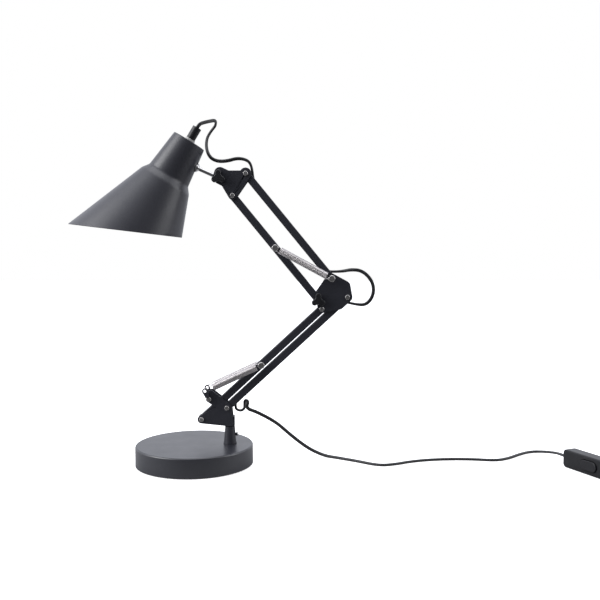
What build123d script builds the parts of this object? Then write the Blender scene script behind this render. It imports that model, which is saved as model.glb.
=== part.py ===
from build123d import *
import os
from math import acos, atan2, ceil, cos, degrees, pi, radians, sin, sqrt, tan

# Balanced-arm desk lamp. Millimetres, +Z up, the origin at the middle of the base's underside.
# The arms lie in the plane y = 0, the shade points to -X, and the photograph's side is -Y.

# ---- clearances and stock ----
FIT = 0.05            # radial clearance of a shaft in a hole
SEAT = 0.3            # gap between curved or loose faces that only sit near each other
PLATE_T = 1.5         # pressed plates
WASHER_T = 0.5        # nylon washers beside each pivot
WASHER_R = 4.0

# ---- base ----
BASE_R = 75.0
BASE_H = 25.6
BASE_EDGE_R = 2.0     # rounding of the cover's edge
COVER_T = 1.2
PAD_T = 2.0
PAD_INSET = 2.5
PAD_RECESS = 1.0      # how far the pad sits up inside the cover
WEIGHT_T = 11.0

# ---- post and swivel ----
POST_INSET = 29.3     # the post's axis from the base's edge
POST_H = 22.7
POST_TOP_R = 6.3
POST_FOOT_R = 8.4
POST_FOOT_H = 2.0
POST_BORE_R = 3.5
POST_FLOOR_T = 6.0
SPIGOT_GROOVE_R = 2.4
GROOVE_W = 3.6
SET_SCREW_UP = 0.55   # share of the post's height
POST_BOLT_R = 2.5
POST_BOLT_HEAD_R = 5.5
POST_BOLT_HEAD_H = 3.0
SET_SCREW_R = 1.5
SET_SCREW_HEAD_R = 2.2
SET_SCREW_HEAD_L = 2.4
BLOCK_W = 12.0        # swivel block between the bracket plates, along X
BLOCK_H = 13.0
FOOT_CORNER_R = 3.0
LOBE_R = 5.2
BIG_LOBE_R = 6.2

# ---- arm tubes ----
BAR = 9.5             # square tube
BAR_WALL = 1.0
BAR_CORNER_R = 1.2
BAR_PAST_PIVOT = 5.2
SLOT_W = 5.0          # the cord's slots in the outer faces
LOWER_L = 208.5
LOWER_ANGLE = 42.7
UPPER_L = 170.0
UPPER_ANGLE = 129.4
# Where the cord turns out of its bar: the distance from the pivot there, and the turn.
LOWER_EXIT = (14.0, 50.0)
LOWER_ENTRY = (8.2, 55.7)
UPPER_EXIT = (10.9, 50.6)
UPPER_ENTRY = (15.5, 33.0)
MOUTH_PROUD = 2.0     # the bar's own cord ends this far outside the bar
SLOT_SPARE = 1.1

# ---- pivots ----
P1_LEFT = 35.7        # the lower link's pivot on the bracket, from the post's axis
P1_UP = 9.8           # and above the post's top
LOWER_PAIR, LOWER_PAIR_ANGLE = 35.6, 24.7   # from the lower bar's pivots to the lower link's
ELBOW_STEP, ELBOW_STEP_ANGLE = 12.0, 112.0  # from the lower bar's top pivot to the upper link's
UPPER_PAIR, UPPER_PAIR_ANGLE = 32.2, 58.9   # from the upper link's pivots to the upper bar's

# ---- fasteners ----
BOLT_R = 1.75
BOLT_HEAD_R = 3.1
BOLT_HEAD_H = 2.0
NUT_R = 3.4           # across corners / 2
NUT_H = 2.4
BOLT_END = 0.6        # thread past the nut
BIG_HEAD_R = 4.2      # the slotted heads that hold the springs
BIG_HEAD_H = 2.2
SLOT_CUT = 0.9        # screwdriver slots
KNOB_R = 9.2
KNOB_HUB_R = 5.0
KNOB_LOBE_R = 3.6
KNOB_T = 8.0
KNOB_EDGE_R = 1.2
KNOB_CAP_T = 1.6
CLAMP_WASHER_R = 4.6

# ---- springs ----
SPRING_Y = 13.0
SPRING_R = 3.75       # mean radius
SPRING_WIRE = 1.5
SPRING_TURNS = 24
HOOK_ROOM = 7.0       # from a hook's pin to the coil
HOOK_BEND = 2.6       # room for the wire's turn between coil and hook
EYE_HOOK_R = 2.2
EYE_HOOK_OFF = 0.7    # the wire's place in the eye
EYE_HOOK_TAIL = 2.5
SLEEVE_R = 3.0
END_SLEEVE = 2.0      # outside the springs' hooks
LOWER_HOOK_ALONG = 104.5   # the lower springs' bolt, along the lower bar
UPPER_HOOK_ALONG = 85.2    # the upper springs' bolt, along the upper link
EYE_RIGHT, EYE_UP = 5.3, 37.7   # eyes that hold the lower springs, from the lower link's pivot
EYE_R = 3.6
EYE_HOLE_R = 1.9
ANCHOR_RIGHT, ANCHOR_UP = 9.6, 26.3   # the screws of their straps, from the same pivot
ANCHOR_R = 3.2
BEND_FROM, BEND_TO = 0.30, 0.52       # a strap's step outwards, as shares of its length
HORN_L, HORN_ANGLE = 7.5, 70.0        # from those screws to the bracket plates' upper corner

# ---- head ----
KNUCKLE_LEFT, KNUCKLE_DOWN = 33.6346, 5.1273   # the clamp's axis, from the upper bar's top pivot
BALL_R = 4.5
SHADE_ROD_R = 2.5
ROD_L = 30.9          # ball centre to clamp axis
ROD_ANGLE = -24.0
KNUCKLE_R = 6.0
KNUCKLE_W = 9.9
KNUCKLE_REACH = 8.0
KNUCKLE_NECK_R = 3.9
ROD_HOLE_END = 4.0    # the rod stops this far from the clamp bolt's axis
SOCKET_R = 5.4
SOCKET_HOLE_R = 6.6   # the hole in the shade's neck
SOCKET_MOUTH_R = 4.3
SOCKET_PROUD = 1.6    # past the ball's centre, towards the rod
SOCKET_BACK = 2.4
SOCKET_FLANGE_R = 8.0
SOCKET_FLANGE_AT = 3.6
SOCKET_FLANGE_T = 1.3
HEAD_EAR_R = 7.3      # the plates' ear round the upper bar's pivot
HEAD_TOP_R = 3.65     # from that pivot up to the plates' flat top
HEAD_TOP_L = 22.0     # length of the flat top
CROWN_L, CROWN_ANGLE = 6.0, 75.0      # from the clamp's axis to the middle of the rounded corner above it
WAIST_L, WAIST_ANGLE = 9.2, -39.0     # and to that of the corner below it

# ---- elbow plates: the middles of their outline's corners ----
WEB_L, WEB_ANGLE = 14.5, 100.0        # from the lower bar's top pivot
HEEL_L, HEEL_ANGLE = 14.5, 226.0      # from the same pivot
TOE_L, TOE_ANGLE = 9.0, 92.0          # from the upper link's pivot
TOE_R = 3.0

# ---- shade ----
NECK_LEFT, NECK_UP = 9.0, 33.4   # the neck's top, from the ball
SHADE_TILT = 31.3     # the shade's axis from the vertical
SHADE_T = 1.0
NECK_TOP_R = 21.5
NECK_END_R = 27.6
NECK_L = 50.0
SHOULDER_R = 33.6
SHOULDER_L = 58.0
CONE_HALF_ANGLE = 21.1
MOUTH_MID_L = 133.4   # the cut's distance down the axis
MOUTH_SLOPE = 24.2    # the cut against a square one
HOLDER_R = 14.0
HOLDER_L = 46.0
HOLDER_BORE_R = 12.2
HOLDER_BORE_L = 26.0
NIPPLE_R = 4.2
NIPPLE_BORE_R = 2.4
NIPPLE_UP = 10.0
NIPPLE_DOWN = 6.0
LEAD_INSIDE = 6.0
GLAND_NUT_R = 6.6
GLAND_NUT_H = 3.0
GRIP_R = 5.7
GRIP_L = 16.5
BULB_R = 22.5
BULB_CENTRE_L = 88.0
BULB_CAP_R = 7.0
BULB_CAP_L = 22.0
BULB_NECK_R = 11.0
BULB_STEM_L = 4.0
GLASS_T = 0.8

# ---- cord ----
CORD_D = 3.6
CORD_BEND = 11.0      # bend of the cord where it leaves a tube
# How far a free cord runs straight on before its first bend: out of the shade's grip, out of the upper
# bar's top, out of its foot, into the lower bar's top and out of its foot.
GRIP_CORD_OUT = 5.5
HEAD_CORD_OUT = 9.0
ELBOW_CORD_OUT = 10.5
ELBOW_CORD_IN = 10.0
EXIT_CORD_OUT = 4.0
COIL_R = 33.0         # outermost turn
COIL_TURNS = 7.5
COIL_CLIMB = 0.5
COIL_PITCH = 4.8
COIL_LAYER = 4.1
TIE_T = 0.7
TIE_W = 5.0
TIE_AT = -60.0

# ---- switch on the cord ----
SWITCH_X, SWITCH_Y = 476.2, -12.9
SWITCH_HEADING = -65.3
SWITCH_L = 86.0
SWITCH_T = 17.0
SWITCH_W = 23.0
SWITCH_END_R = 5.0
SWITCH_EDGE_R = 1.6
SWITCH_WALL = 1.8
SWITCH_ENTRY_DEPTH = 1.6   # the cords' ends inside the housing's end walls
SWITCH_LEAD_IN = 9.0
ROCKER_L = 25.0
ROCKER_H = 12.5
ROCKER_DEPTH = 6.5
ROCKER_PIVOT = 4.0
ROCKER_PROUD = 1.6
ROCKER_ALONG = 43.5
ROCKER_GAP = 0.8
ROCKER_EDGE_R = 0.8
TRUNNION_R = 1.2
COIL_LEAD = 52.0      # from the switch to the coil

# ---- plug ----
PLUG_LEAD = 28.0      # from the coil to the plug
PLUG_L = 36.0
PLUG_W = 35.0
PLUG_TAIL_W = 16.0
PLUG_T = 13.7
PLUG_NECK_R = 4.6
PLUG_NECK_L = 14.0
PIN_R = 2.0
PIN_L = 19.0
PIN_PITCH = 18.8

# ---- worked out from the sizes above ----
BAR_HALF = BAR / 2
PLATE_IN = BAR_HALF + WASHER_T
PLATE_OUT = PLATE_IN + PLATE_T
POST_X = BASE_R - POST_INSET
POST_TOP_Z = BASE_H + POST_H
CORD_R = CORD_D / 2
FLOOR_Z = CORD_R
COIL_Z = FLOOR_Z + TIE_T + 0.1
SWITCH_END = SWITCH_L + COIL_LEAD
COIL_WAY = (cos(radians(SWITCH_HEADING)), sin(radians(SWITCH_HEADING)))
COIL_X = SWITCH_X + COIL_WAY[0] * SWITCH_END - COIL_WAY[1] * COIL_R
COIL_Y = SWITCH_Y + COIL_WAY[1] * SWITCH_END + COIL_WAY[0] * COIL_R
COIL_START = SWITCH_HEADING - 90
PLUG_HEADING = SWITCH_HEADING + 180
PLUG_X = COIL_X - COIL_WAY[1] * COIL_R - COIL_WAY[0] * PLUG_LEAD
PLUG_Y = COIL_Y + COIL_WAY[0] * COIL_R - COIL_WAY[1] * PLUG_LEAD


def polar(length, angle):
    """A step of that length at that angle in the XZ plane, as (x, z)."""
    return (length * cos(radians(angle)), length * sin(radians(angle)))


def step(point, length, angle):
    dx, dz = polar(length, angle)
    return (point[0] + dx, point[1] + dz)


P1 = (POST_X - P1_LEFT, POST_TOP_Z + P1_UP)
P2 = step(P1, LOWER_PAIR, LOWER_PAIR_ANGLE)
E1 = step(P1, LOWER_L, LOWER_ANGLE)
E2 = step(P2, LOWER_L, LOWER_ANGLE)
E3 = step(E1, ELBOW_STEP, ELBOW_STEP_ANGLE)
E4 = step(E3, UPPER_PAIR, UPPER_PAIR_ANGLE)
H1 = step(E3, UPPER_L, UPPER_ANGLE)
H2 = step(E4, UPPER_L, UPPER_ANGLE)
S1 = step(P1, LOWER_HOOK_ALONG, LOWER_ANGLE)
S2 = step(E3, UPPER_HOOK_ALONG, UPPER_ANGLE)
KNUCKLE = (H2[0] - KNUCKLE_LEFT, H2[1] - KNUCKLE_DOWN)
BALL = step(KNUCKLE, ROD_L, ROD_ANGLE + 180)
NECK_TOP = (BALL[0] - NECK_LEFT, BALL[1] + NECK_UP)
EYE = (P1[0] + EYE_RIGHT, P1[1] + EYE_UP)
ANCHOR = (P1[0] + ANCHOR_RIGHT, P1[1] + ANCHOR_UP)


# ---- making and placing ----

def disc(point, radius):
    return Pos(point[0], point[1]) * Circle(radius)


def hull(*discs):
    """One rounded outline round discs given as (point, radius), drawn as x and z."""
    edges = []
    for point, radius in discs:
        edges += disc(point, radius).edges()
    return make_hull(edges)


def slab(outline, y_low, y_high):
    """A flat piece: an outline in x and z, between two planes of y."""
    solid = extrude(outline, y_high - y_low)
    return Pos(0, y_high, 0) * Rot(90, 0, 0) * solid


def pin(point, radius, y_low, y_high):
    """A round bar along Y."""
    return slab(disc(point, radius), y_low, y_high)


def tube_bar(start, length, angle):
    """Square tube with rounded ends past both pivots, drilled for its pivots."""
    whole = length + 2 * BAR_PAST_PIVOT
    outer = extrude(RectangleRounded(BAR, BAR, BAR_CORNER_R), whole)
    inner = extrude(Rectangle(BAR - 2 * BAR_WALL, BAR - 2 * BAR_WALL), whole)
    tube = Pos(start[0], 0, start[1]) * Rot(0, 90 - angle, 0) * Pos(0, 0, -BAR_PAST_PIVOT) * (outer - inner)
    end = step(start, length, angle)
    tube &= slab(hull((start, BAR_PAST_PIVOT), (end, BAR_PAST_PIVOT)), -BAR, BAR)
    return drilled(tube, [start, end])


def bar_point(start, angle, along, outward):
    """A point beside a bar: along it, then towards its outer side."""
    on_line = step(start, along, angle)
    return step(on_line, outward, angle - 90)


def cut_slot(bar, start, angle, first, last):
    """Opens the outer wall of a bar for the cord, between two distances from its start."""
    middle = bar_point(start, angle, (first + last) / 2, BAR_HALF)
    cutter = Box(last - first, SLOT_W, 2 * BAR_WALL + FIT)
    return bar - Pos(middle[0], 0, middle[1]) * Rot(0, -angle, 0) * cutter


def washer(point, y_low):
    return pin(point, WASHER_R, y_low, y_low + WASHER_T) - pin(point, BOLT_R + FIT, y_low, y_low + WASHER_T)


def washers(points):
    """Both washers of each pivot."""
    return [washer(p, y) for p in points for y in (-PLATE_IN, BAR_HALF)]


def bolt(point, face, far, head_r=BOLT_HEAD_R, head_h=BOLT_HEAD_H, shank_r=BOLT_R):
    """A slotted pan-head bolt along Y: its head sits on face, and its shank ends at far."""
    shank = pin(point, shank_r, face, far)
    head = pin(point, head_r, face - head_h, face)
    rim = head.edges().filter_by(GeomType.CIRCLE).sort_by(Axis.Y)[0]
    head = fillet(rim, head_h * 0.4)
    slot = Box(2 * head_r, SLOT_CUT, SLOT_CUT)
    cut = Pos(point[0], face - head_h + SLOT_CUT / 2, point[1]) * Rot(0, 40, 0) * slot
    return shank + head - cut


def nut(point, face, height=NUT_H, across=NUT_R, bore=BOLT_R):
    """A hexagon nut whose inner face is at face, towards +Y."""
    outline = Pos(point[0], point[1]) * RegularPolygon(across, 6)
    return slab(outline - disc(point, bore + FIT), face, face + height)


def drilled(solid, points, radius=BOLT_R + FIT):
    """Holes along Y right through a plate."""
    for point in points:
        solid -= pin(point, radius, -PLATE_OUT - 1, PLATE_OUT + 1)
    return solid


def plate_pair(outline, holes):
    """The front and the rear plate of one outline."""
    front = drilled(slab(outline, -PLATE_OUT, -PLATE_IN), holes)
    rear = drilled(slab(outline, PLATE_IN, PLATE_OUT), holes)
    return front, rear


def through_bolts(points):
    """Plain pivot bolts through both plates, each with its nut."""
    far = PLATE_OUT + NUT_H + BOLT_END
    return [bolt(p, -PLATE_OUT, far) for p in points], [nut(p, PLATE_OUT) for p in points]


# ---- tubes that follow a route ----

def biarc(start, start_way, end, end_way):
    """Two arcs that leave start and reach end along the given directions."""
    chord = end - start
    both = start_way + end_way
    turn = 2 * (1 - start_way.dot(end_way))
    reach = (-chord.dot(both) + sqrt(chord.dot(both) ** 2 + 2 * turn * chord.dot(chord) / 2)) / turn
    middle = (start + end + (start_way - end_way) * reach) * 0.5
    first = Edge.make_tangent_arc(start, start_way, middle)
    second = Edge.make_tangent_arc(middle, first.tangent_at(1), end)
    return [first, second]


def swept(path, diameter):
    section = Plane(origin=path @ 0, z_dir=path % 0) * Circle(diameter / 2)
    return sweep(section, path=path)


def own_gap(path, diameter, step_length=0.9):
    """The least distance between two stretches of one tube, less its diameter."""
    count = max(8, int(path.length / step_length))
    points = [path.position_at(i / count) for i in range(count + 1)]
    skip = ceil(2.2 * diameter * count / path.length)
    least = 1e9
    for i in range(len(points)):
        a = points[i]
        for j in range(i + skip, len(points)):
            b = points[j]
            apart = (a.X - b.X) ** 2 + (a.Y - b.Y) ** 2 + (a.Z - b.Z) ** 2
            if apart < least:
                least = apart
    return sqrt(least) - diameter


def route_radii(points):
    """Each corner's radius: 0.45 of its shorter run over the tangent of half its turn."""
    radii = []
    for a, b, c in zip(points, points[1:], points[2:]):
        run_in = Vector(*b) - Vector(*a)
        run_out = Vector(*c) - Vector(*b)
        half = radians(run_in.get_angle(run_out)) / 2
        radii.append(0.45 * min(run_in.length, run_out.length) / tan(half))
    return radii


def cord_tube(name, points, radii=None):
    """A stretch of cord: straight runs joined by tangent arcs."""
    radii = radii or route_radii(points)
    path = FilletPolyline(*points, radius=radii)
    solid = swept(path, CORD_D)
    ideal = pi * CORD_R ** 2 * path.length
    print(f"{name}: {path.length:.0f} mm, least radius {min(radii):.1f} mm, volume {solid.volume / ideal:.4f} of its section")
    return solid


# ---- base, post and swivel ----

def on_post(shape, z):
    return Pos(POST_X, 0, z) * shape


def upright(radius, height):
    """A cylinder that stands on its place."""
    return Cylinder(radius, height, align=(Align.CENTER, Align.CENTER, Align.MIN))


def base_parts():
    rim_z = PAD_T - PAD_RECESS
    cover = Pos(0, 0, rim_z) * upright(BASE_R, BASE_H - rim_z)
    cover = fillet(cover.edges().filter_by(GeomType.CIRCLE).sort_by(Axis.Z)[-1], BASE_EDGE_R)
    inner_r = BASE_R - COVER_T
    cover -= Pos(0, 0, rim_z) * upright(inner_r, BASE_H - rim_z - COVER_T)
    cover -= on_post(upright(POST_BOLT_R + FIT, BASE_H + 1), 0)
    weight = Pos(0, 0, PAD_T) * upright(inner_r - SEAT, WEIGHT_T)
    weight += on_post(upright(POST_FOOT_R, BASE_H - COVER_T - PAD_T), PAD_T)
    weight -= on_post(upright(POST_BOLT_R + FIT, BASE_H), PAD_T)
    weight -= on_post(upright(POST_BOLT_HEAD_R + SEAT, POST_BOLT_HEAD_H), PAD_T)
    return {"base_cover": cover, "base_weight": weight, "base_pad": upright(BASE_R - PAD_INSET, PAD_T)}


def post_parts():
    foot = upright(POST_FOOT_R, POST_FOOT_H)
    cone_h = POST_H - POST_FOOT_H
    cone = Pos(0, 0, POST_FOOT_H) * Cone(POST_FOOT_R - 0.4, POST_TOP_R, cone_h,
                                         align=(Align.CENTER, Align.CENTER, Align.MIN))
    post = on_post(foot + cone, BASE_H)
    post -= on_post(upright(POST_BORE_R, POST_H), BASE_H + POST_FLOOR_T)
    post -= on_post(upright(POST_BOLT_R + FIT, POST_FLOOR_T), BASE_H)
    screw_z = BASE_H + POST_H * SET_SCREW_UP
    along_x = Pos(POST_X, 0, screw_z) * Rot(0, 90, 0)
    post -= along_x * upright(SET_SCREW_R + FIT, POST_FOOT_R)
    outer = POST_TOP_R + (POST_FOOT_R - POST_TOP_R) * (1 - SET_SCREW_UP)
    screw = along_x * Pos(0, 0, SPIGOT_GROOVE_R + SEAT) * upright(SET_SCREW_R, outer - SPIGOT_GROOVE_R)
    screw += along_x * Pos(0, 0, outer + SEAT) * upright(SET_SCREW_HEAD_R, SET_SCREW_HEAD_L)
    screw -= along_x * Pos(0, 0, outer + SEAT + SET_SCREW_HEAD_L) * Box(SLOT_CUT, 2 * SET_SCREW_HEAD_R, SLOT_CUT)
    bolt_z = PAD_T + POST_BOLT_HEAD_H
    post_bolt = on_post(upright(POST_BOLT_R, BASE_H + POST_FLOOR_T - bolt_z), bolt_z)
    post_bolt += on_post(upright(POST_BOLT_HEAD_R, POST_BOLT_HEAD_H), PAD_T)
    return {"base_post": post, "post_set_screw": screw, "post_bolt": post_bolt}


def swivel_block():
    """The block between the bracket plates, with the spigot that turns in the post, and its rivet."""
    bottom = POST_TOP_Z + SEAT
    block = on_post(Box(BLOCK_W, 2 * PLATE_IN, BLOCK_H, align=(Align.CENTER, Align.CENTER, Align.MIN)), bottom)
    spigot_h = POST_H - POST_FLOOR_T - SEAT
    spigot = on_post(upright(POST_BORE_R - FIT, spigot_h + SEAT), bottom - spigot_h - SEAT)
    groove_z = BASE_H + POST_H * SET_SCREW_UP
    groove = upright(POST_BORE_R, GROOVE_W) - upright(SPIGOT_GROOVE_R, GROOVE_W)
    spigot -= on_post(groove, groove_z - GROOVE_W / 2)
    rivet_at = (POST_X, bottom + BLOCK_H / 2)
    block = block + spigot - pin(rivet_at, BOLT_R + FIT, -PLATE_OUT, PLATE_OUT)
    return [block, pin(rivet_at, BOLT_R, -PLATE_OUT, PLATE_OUT)], rivet_at


# ---- bracket ----

def bracket_parts():
    block, rivet_at = swivel_block()
    foot_z = POST_TOP_Z + SEAT + 1 + FOOT_CORNER_R
    left_foot = (POST_X - BLOCK_W / 2 + 2, foot_z)
    right_foot = (POST_X + BLOCK_W / 2 - FOOT_CORNER_R - 1, foot_z)
    lower = hull((P1, LOBE_R), (P2, BIG_LOBE_R), (left_foot, FOOT_CORNER_R), (right_foot, FOOT_CORNER_R))
    upper = hull((P2, BIG_LOBE_R), (ANCHOR, LOBE_R - 1), (step(ANCHOR, HORN_L, HORN_ANGLE), LOBE_R - 1))
    front, rear = plate_pair(lower + upper, [P1, P2, ANCHOR, rivet_at])
    bolts, nuts = through_bolts([P1, P2])
    screws = both_sides(bolt(ANCHOR, -PLATE_OUT - PLATE_T, -PLATE_IN))
    return {
        "bracket_plate_front": front,
        "bracket_plate_rear": rear,
        "swivel_block": block,
        "bracket_bolts": bolts + nuts + screws,
        "bracket_washers": washers([P1, P2]),
        "spring_anchors": both_sides(spring_anchor()),
    }


def both_sides(front):
    """A piece on the front side and its mirror image on the rear."""
    return [front, mirror(front, about=Plane.XZ)]


def spring_anchor():
    """A strap screwed to the front plate that steps outwards to an eye in the spring's plane."""
    dx, dz = EYE[0] - ANCHOR[0], EYE[1] - ANCHOR[1]
    reach = sqrt(dx ** 2 + dz ** 2)
    angle = degrees(atan2(dz, dx))
    near = step(ANCHOR, reach * BEND_FROM, angle)
    far = step(ANCHOR, reach * BEND_TO, angle)
    eye_y = -SPRING_Y - PLATE_T / 2
    strap = slab(hull((ANCHOR, ANCHOR_R), (far, ANCHOR_R - 1)), -PLATE_OUT - PLATE_T, -PLATE_OUT)
    middle = slab(hull((near, ANCHOR_R - 1), (far, ANCHOR_R - 1)), eye_y, -PLATE_OUT)
    blade = slab(hull((near, ANCHOR_R - 1), (EYE, EYE_R)), eye_y, eye_y + PLATE_T)
    head_room = pin(ANCHOR, BOLT_HEAD_R + SEAT, eye_y - 1, -PLATE_OUT - PLATE_T)
    whole = strap + (middle + blade - head_room)
    whole -= pin(ANCHOR, BOLT_R + FIT, -PLATE_OUT - PLATE_T, -PLATE_OUT)
    return whole - pin(EYE, EYE_HOLE_R, eye_y - 1, eye_y + PLATE_T + 1)


# ---- arms ----

def slot_span(corner, turn):
    """Where a cord that turns out of a bar at corner crosses its wall, as distances along the bar."""
    spread = CORD_R / sin(radians(turn)) + SLOT_SPARE
    outer = BAR_HALF / tan(radians(turn)) + spread
    inner = (BAR_HALF - BAR_WALL) / tan(radians(turn)) - spread
    return corner - outer, corner - inner


def mouth(start, angle, corner, turn, towards_start=True):
    """The point where a bar's cord has left its slot, and the cord's way there, as an angle."""
    at = step(start, corner, angle)
    way = angle + 180 + turn if towards_start else angle - turn
    return step(at, (BAR_HALF + MOUTH_PROUD) / sin(radians(turn)), way), way


def cord_bar(name, start, length, angle, low, high):
    """A bar that holds the cord, with a slot near each end. low and high are (distance, turn)."""
    low_corner, low_turn = low
    high_corner, high_turn = length - high[0], high[1]
    bar = tube_bar(start, length, angle)
    bar = cut_slot(bar, start, angle, *slot_span(low_corner, low_turn))
    near, far = slot_span(high[0], high_turn)
    bar = cut_slot(bar, start, angle, length - far, length - near)
    low_end, _ = mouth(start, angle, low_corner, low_turn)
    high_end, _ = mouth(start, angle, high_corner, high_turn, towards_start=False)
    corners = [step(start, low_corner, angle), step(start, high_corner, angle)]
    points = [(x, 0, z) for x, z in [low_end] + corners + [high_end]]
    return bar, cord_tube(name, points, [CORD_BEND, CORD_BEND])


def hook_bolt(point, inner_face):
    """The long slotted bolt that both springs of a pair hook on, with its nut and spacer sleeves."""
    hook_gap = SPRING_WIRE / 2 + SEAT
    face = SPRING_Y + hook_gap + END_SLEEVE
    screw = bolt(point, -face, face + NUT_H + BOLT_END, BIG_HEAD_R, BIG_HEAD_H)
    tie_nut = nut(point, face)
    sleeves = []
    for low, high in ((inner_face, SPRING_Y - hook_gap), (SPRING_Y + hook_gap, face)):
        front = pin(point, SLEEVE_R, -high, -low) - pin(point, BOLT_R + FIT, -high, -low)
        sleeves += both_sides(front)
    return [screw, tie_nut] + sleeves


def arm_parts():
    parts = {}
    parts["lower_link_bar"] = drilled(tube_bar(P1, LOWER_L, LOWER_ANGLE), [S1])
    parts["upper_link_bar"] = drilled(tube_bar(E3, UPPER_L, UPPER_ANGLE), [S2])
    parts["lower_cord_bar"], parts["lower_bar_cord"] = cord_bar(
        "lower bar's cord", P2, LOWER_L, LOWER_ANGLE, LOWER_EXIT, LOWER_ENTRY)
    parts["upper_cord_bar"], parts["upper_bar_cord"] = cord_bar(
        "upper bar's cord", E4, UPPER_L, UPPER_ANGLE, UPPER_EXIT, UPPER_ENTRY)
    parts["lower_spring_bolt"] = hook_bolt(S1, BAR_HALF)
    parts["upper_spring_bolt"] = hook_bolt(S2, BAR_HALF)
    return parts


# ---- springs ----

def spring(name, start, end, end_in_eye):
    """A close coil with a hook round a bolt at start, and round a bolt or through an eye at end."""
    a = Vector(start[0], -SPRING_Y, start[1])
    b = Vector(end[0], -SPRING_Y, end[1])
    along = (b - a).normalized()
    side = Vector(0, 1, 0)
    across = along.cross(side)
    turns = SPRING_TURNS + (0.25 if end_in_eye else 0)
    coil_l = (b - a).length - 2 * HOOK_ROOM
    hook_r = BOLT_R + SPRING_WIRE / 2 + SEAT

    def on_coil(turn):
        angle = 2 * pi * turn
        out = across * cos(angle) + side * sin(angle)
        round_way = side * cos(angle) - across * sin(angle)
        place = a + along * (HOOK_ROOM + coil_l * turn / turns) + out * SPRING_R
        way = (round_way * (2 * pi * SPRING_R) + along * (coil_l / turns)).normalized()
        return place, way

    def loop(centre, first, sense):
        """Three quarters of a turn round a bolt, in the plane of the arms."""
        corners = [centre + (along * cos(q * pi / 2) + across * sin(q * pi / 2)) * hook_r
                   for q in (first, first + sense, first + 2 * sense, first + 3 * sense)]
        return corners

    def quarter_turns(corners, way):
        edges = []
        for p, q in zip(corners, corners[1:]):
            edges.append(Edge.make_tangent_arc(p, way, q))
            way = edges[-1].tangent_at(1)
        return edges

    edges = quarter_turns(loop(a, 4, -1), across * -1)
    leg_start = a + across * hook_r
    leg_end = a + across * hook_r + along * (HOOK_ROOM - HOOK_BEND)
    edges.append(Edge.make_line(leg_start, leg_end))
    place, way = on_coil(0)
    edges += biarc(leg_end, along, place, way)
    turn = 0
    while turn < turns:
        following = min(turn + 0.5, turns)
        next_place, next_way = on_coil(following)
        edges += biarc(place, way, next_place, next_way)
        place, way, turn = next_place, next_way, following
    if end_in_eye:
        centre = b - along * (EYE_HOOK_R + EYE_HOOK_OFF)
        outward = side * EYE_HOOK_R
        edges += biarc(place, way, b - along * (HOOK_ROOM - HOOK_BEND) + outward, along)
        edges.append(Edge.make_line(edges[-1].position_at(1), centre + outward))
        edges += quarter_turns([centre + outward, centre + along * EYE_HOOK_R, centre - outward], along)
        edges.append(Edge.make_line(centre - outward, centre - outward - along * EYE_HOOK_TAIL))
    else:
        leg_start = b + across * hook_r - along * (HOOK_ROOM - HOOK_BEND)
        edges += biarc(place, way, leg_start, along)
        edges.append(Edge.make_line(leg_start, b + across * hook_r))
        edges += quarter_turns(loop(b, 1, -1), along)
    path = Wire(edges)
    solid = swept(path, SPRING_WIRE)
    ideal = pi * (SPRING_WIRE / 2) ** 2 * path.length
    print(f"{name}: wire {path.length:.0f} mm, gap to itself {own_gap(path, SPRING_WIRE):.2f} mm, "
          f"volume {solid.volume / ideal:.4f} of its section")
    return solid


def spring_parts():
    lower = spring("lower spring", S1, EYE, True)
    upper = spring("upper spring", S2, E4, False)
    across = Pos(0, 2 * SPRING_Y, 0)
    return {
        "lower_springs": [lower, across * lower],
        "upper_springs": [upper, across * upper],
    }


# ---- elbow and head ----

def knob(point):
    """A three-lobed clamping knob on the front of the plates, with a blind hole for its bolt."""
    inner = PLATE_OUT + WASHER_T + FIT
    outer = inner + KNOB_T
    lobes = PLATE_OUT + BOLT_HEAD_H + SEAT
    outline = disc(point, KNOB_HUB_R)
    for k in range(3):
        tip = step(point, KNOB_R - KNOB_LOBE_R, 90 + 120 * k)
        outline += hull((point, KNOB_LOBE_R), (tip, KNOB_LOBE_R))
    grip = slab(outline, -outer, -lobes)
    grip = fillet(grip.faces().sort_by(Axis.Y)[0].edges(), KNOB_EDGE_R)
    whole = grip + pin(point, KNOB_HUB_R - 0.6, -lobes - 1, -inner)
    return whole - pin(point, BOLT_R + FIT, -outer + KNOB_CAP_T, -inner)


def clamp(name, point):
    """The clamp bolt with its head at the rear, its washer under the knob, and the knob."""
    inner = PLATE_OUT + WASHER_T + FIT
    far = inner + KNOB_T - KNOB_CAP_T - SEAT
    washer_ring = pin(point, CLAMP_WASHER_R, -PLATE_OUT - WASHER_T, -PLATE_OUT)
    washer_ring -= pin(point, BOLT_R + FIT, -PLATE_OUT - WASHER_T, -PLATE_OUT)
    return {
        f"{name}_clamp_bolt": [mirror(bolt(point, -PLATE_OUT, far), about=Plane.XZ), washer_ring],
        f"{name}_knob": knob(point),
    }


def elbow_parts():
    web = step(E2, WEB_L, WEB_ANGLE)
    heel = step(E2, HEEL_L, HEEL_ANGLE)
    toe = step(E3, TOE_L, TOE_ANGLE)
    outline = hull((E1, LOBE_R), (E2, BIG_LOBE_R), (E4, BIG_LOBE_R), (web, BIG_LOBE_R),
                   (heel, LOBE_R), (toe, TOE_R))
    front, rear = plate_pair(outline, [E1, E2, E3, E4])
    bolts, nuts = through_bolts([E1, E2])
    return {
        "elbow_plate_front": front,
        "elbow_plate_rear": rear,
        "elbow_bolts": bolts + nuts,
        "elbow_spring_bolt": hook_bolt(E4, PLATE_OUT),
        "elbow_washers": washers([E1, E2, E3, E4]),
    } | clamp("elbow", E3)


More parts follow.
